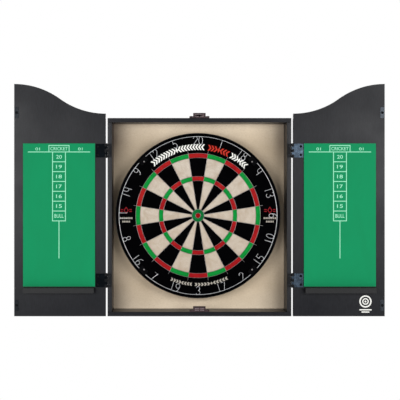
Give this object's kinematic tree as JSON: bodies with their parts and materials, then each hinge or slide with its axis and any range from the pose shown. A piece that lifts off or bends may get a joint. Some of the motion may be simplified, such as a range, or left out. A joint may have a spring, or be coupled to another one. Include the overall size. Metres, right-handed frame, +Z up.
{
  "type": "dart board cabinet",
  "caption": "Wall-hung cabinet with a bristle dartboard inside and two hinged doors that carry scoreboards and dart rails, shown open.",
  "frame": {"origin": "centre of the cabinet's rear face, which lies on the wall", "axes": "+Z up, +Y into the wall, so that the front faces -Y, and +X to the right as seen from the front"},
  "size_m": [1, 0.107, 0.627],
  "materials": {
    "black_panel": "black melamine foil on fibreboard, satin",
    "bare_board": "bare fibreboard, matt",
    "score_green": "green printed board, satin",
    "black_steel": "black plated steel, satin",
    "steel": "zinc plated steel",
    "magnet": "steel poles round a ceramic magnet",
    "brown_plastic": "moulded brown plastic",
    "sisal": "end-grain sisal fibre, matt, dyed",
    "black_band": "black painted steel strip",
    "chipboard": "bare chipboard",
    "black_plastic": "moulded black plastic",
    "rubber": "matt",
    "wire": "bright galvanised wire"
  },
  "bodies": {
    "cabinet": {"top_panel": "black_panel", "bottom_panel": "black_panel", "left_panel": "black_panel", "right_panel": "black_panel", "back_panel": "bare_board", "left_hanger_plate": "steel", "right_hanger_plate": "steel", "board_bracket": "steel", "top_catch_housing": "brown_plastic", "top_catch_magnet_left": "magnet", "top_catch_magnet_right": "magnet", "bottom_catch_housing": "brown_plastic", "bottom_catch_magnet_left": "magnet", "bottom_catch_magnet_right": "magnet", "left_door_lower_hinge_cabinet_leaf": "black_steel", "left_door_lower_hinge_pin": "black_steel", "left_door_upper_hinge_cabinet_leaf": "black_steel", "left_door_upper_hinge_pin": "black_steel", "right_door_lower_hinge_cabinet_leaf": "black_steel", "right_door_lower_hinge_pin": "black_steel", "right_door_upper_hinge_cabinet_leaf": "black_steel", "right_door_upper_hinge_pin": "black_steel"},
    "left_door": {"left_door_panel": "black_panel", "left_door_scoreboard": "score_green", "left_door_dart_rail": "black_panel", "left_door_bottom_strike": "steel", "left_door_top_strike": "steel", "left_door_lower_hinge_door_leaf": "black_steel", "left_door_lower_hinge_screw_1": "black_steel", "left_door_lower_hinge_screw_2": "black_steel", "left_door_upper_hinge_door_leaf": "black_steel", "left_door_upper_hinge_screw_1": "black_steel", "left_door_upper_hinge_screw_2": "black_steel"},
    "right_door": {"right_door_panel": "black_panel", "right_door_scoreboard": "score_green", "right_door_dart_rail": "black_panel", "right_door_bottom_strike": "steel", "right_door_top_strike": "steel", "right_door_lower_hinge_door_leaf": "black_steel", "right_door_lower_hinge_screw_1": "black_steel", "right_door_lower_hinge_screw_2": "black_steel", "right_door_upper_hinge_door_leaf": "black_steel", "right_door_upper_hinge_screw_1": "black_steel", "right_door_upper_hinge_screw_2": "black_steel"},
    "dartboard": {"sisal_face": "sisal", "steel_band": "black_band", "board_backing": "chipboard", "centre_screw": "steel", "board_foot_1": "rubber", "board_foot_2": "rubber", "board_foot_3": "rubber", "spider": "wire"},
    "number_ring": {"number_ring": "wire", "ring_clip_1": "black_plastic", "ring_clip_2": "black_plastic", "ring_clip_3": "black_plastic", "ring_clip_4": "black_plastic"}
  },
  "joints": [
    {"name": "left_door_hinge", "type": "hinge", "parent": "cabinet", "child": "left_door", "pos_m": [-0.2505, -0.0865, 0], "axis": [0, 0, 1], "range_deg": [-15, 180]},
    {"name": "right_door_hinge", "type": "hinge", "parent": "cabinet", "child": "right_door", "pos_m": [0.2505, -0.0865, 0], "axis": [0, 0, -1], "range_deg": [-15, 180]},
    {"name": "dartboard_turn", "type": "hinge", "parent": "cabinet", "child": "dartboard", "pos_m": [-0.003, -0.036, 0.0035], "axis": [0, 1, 0], "continuous": true},
    {"name": "number_ring_turn", "type": "hinge", "parent": "dartboard", "child": "number_ring", "pos_m": [-0.003, -0.0562, 0.0035], "axis": [0, 1, 0], "continuous": true}
  ]
}
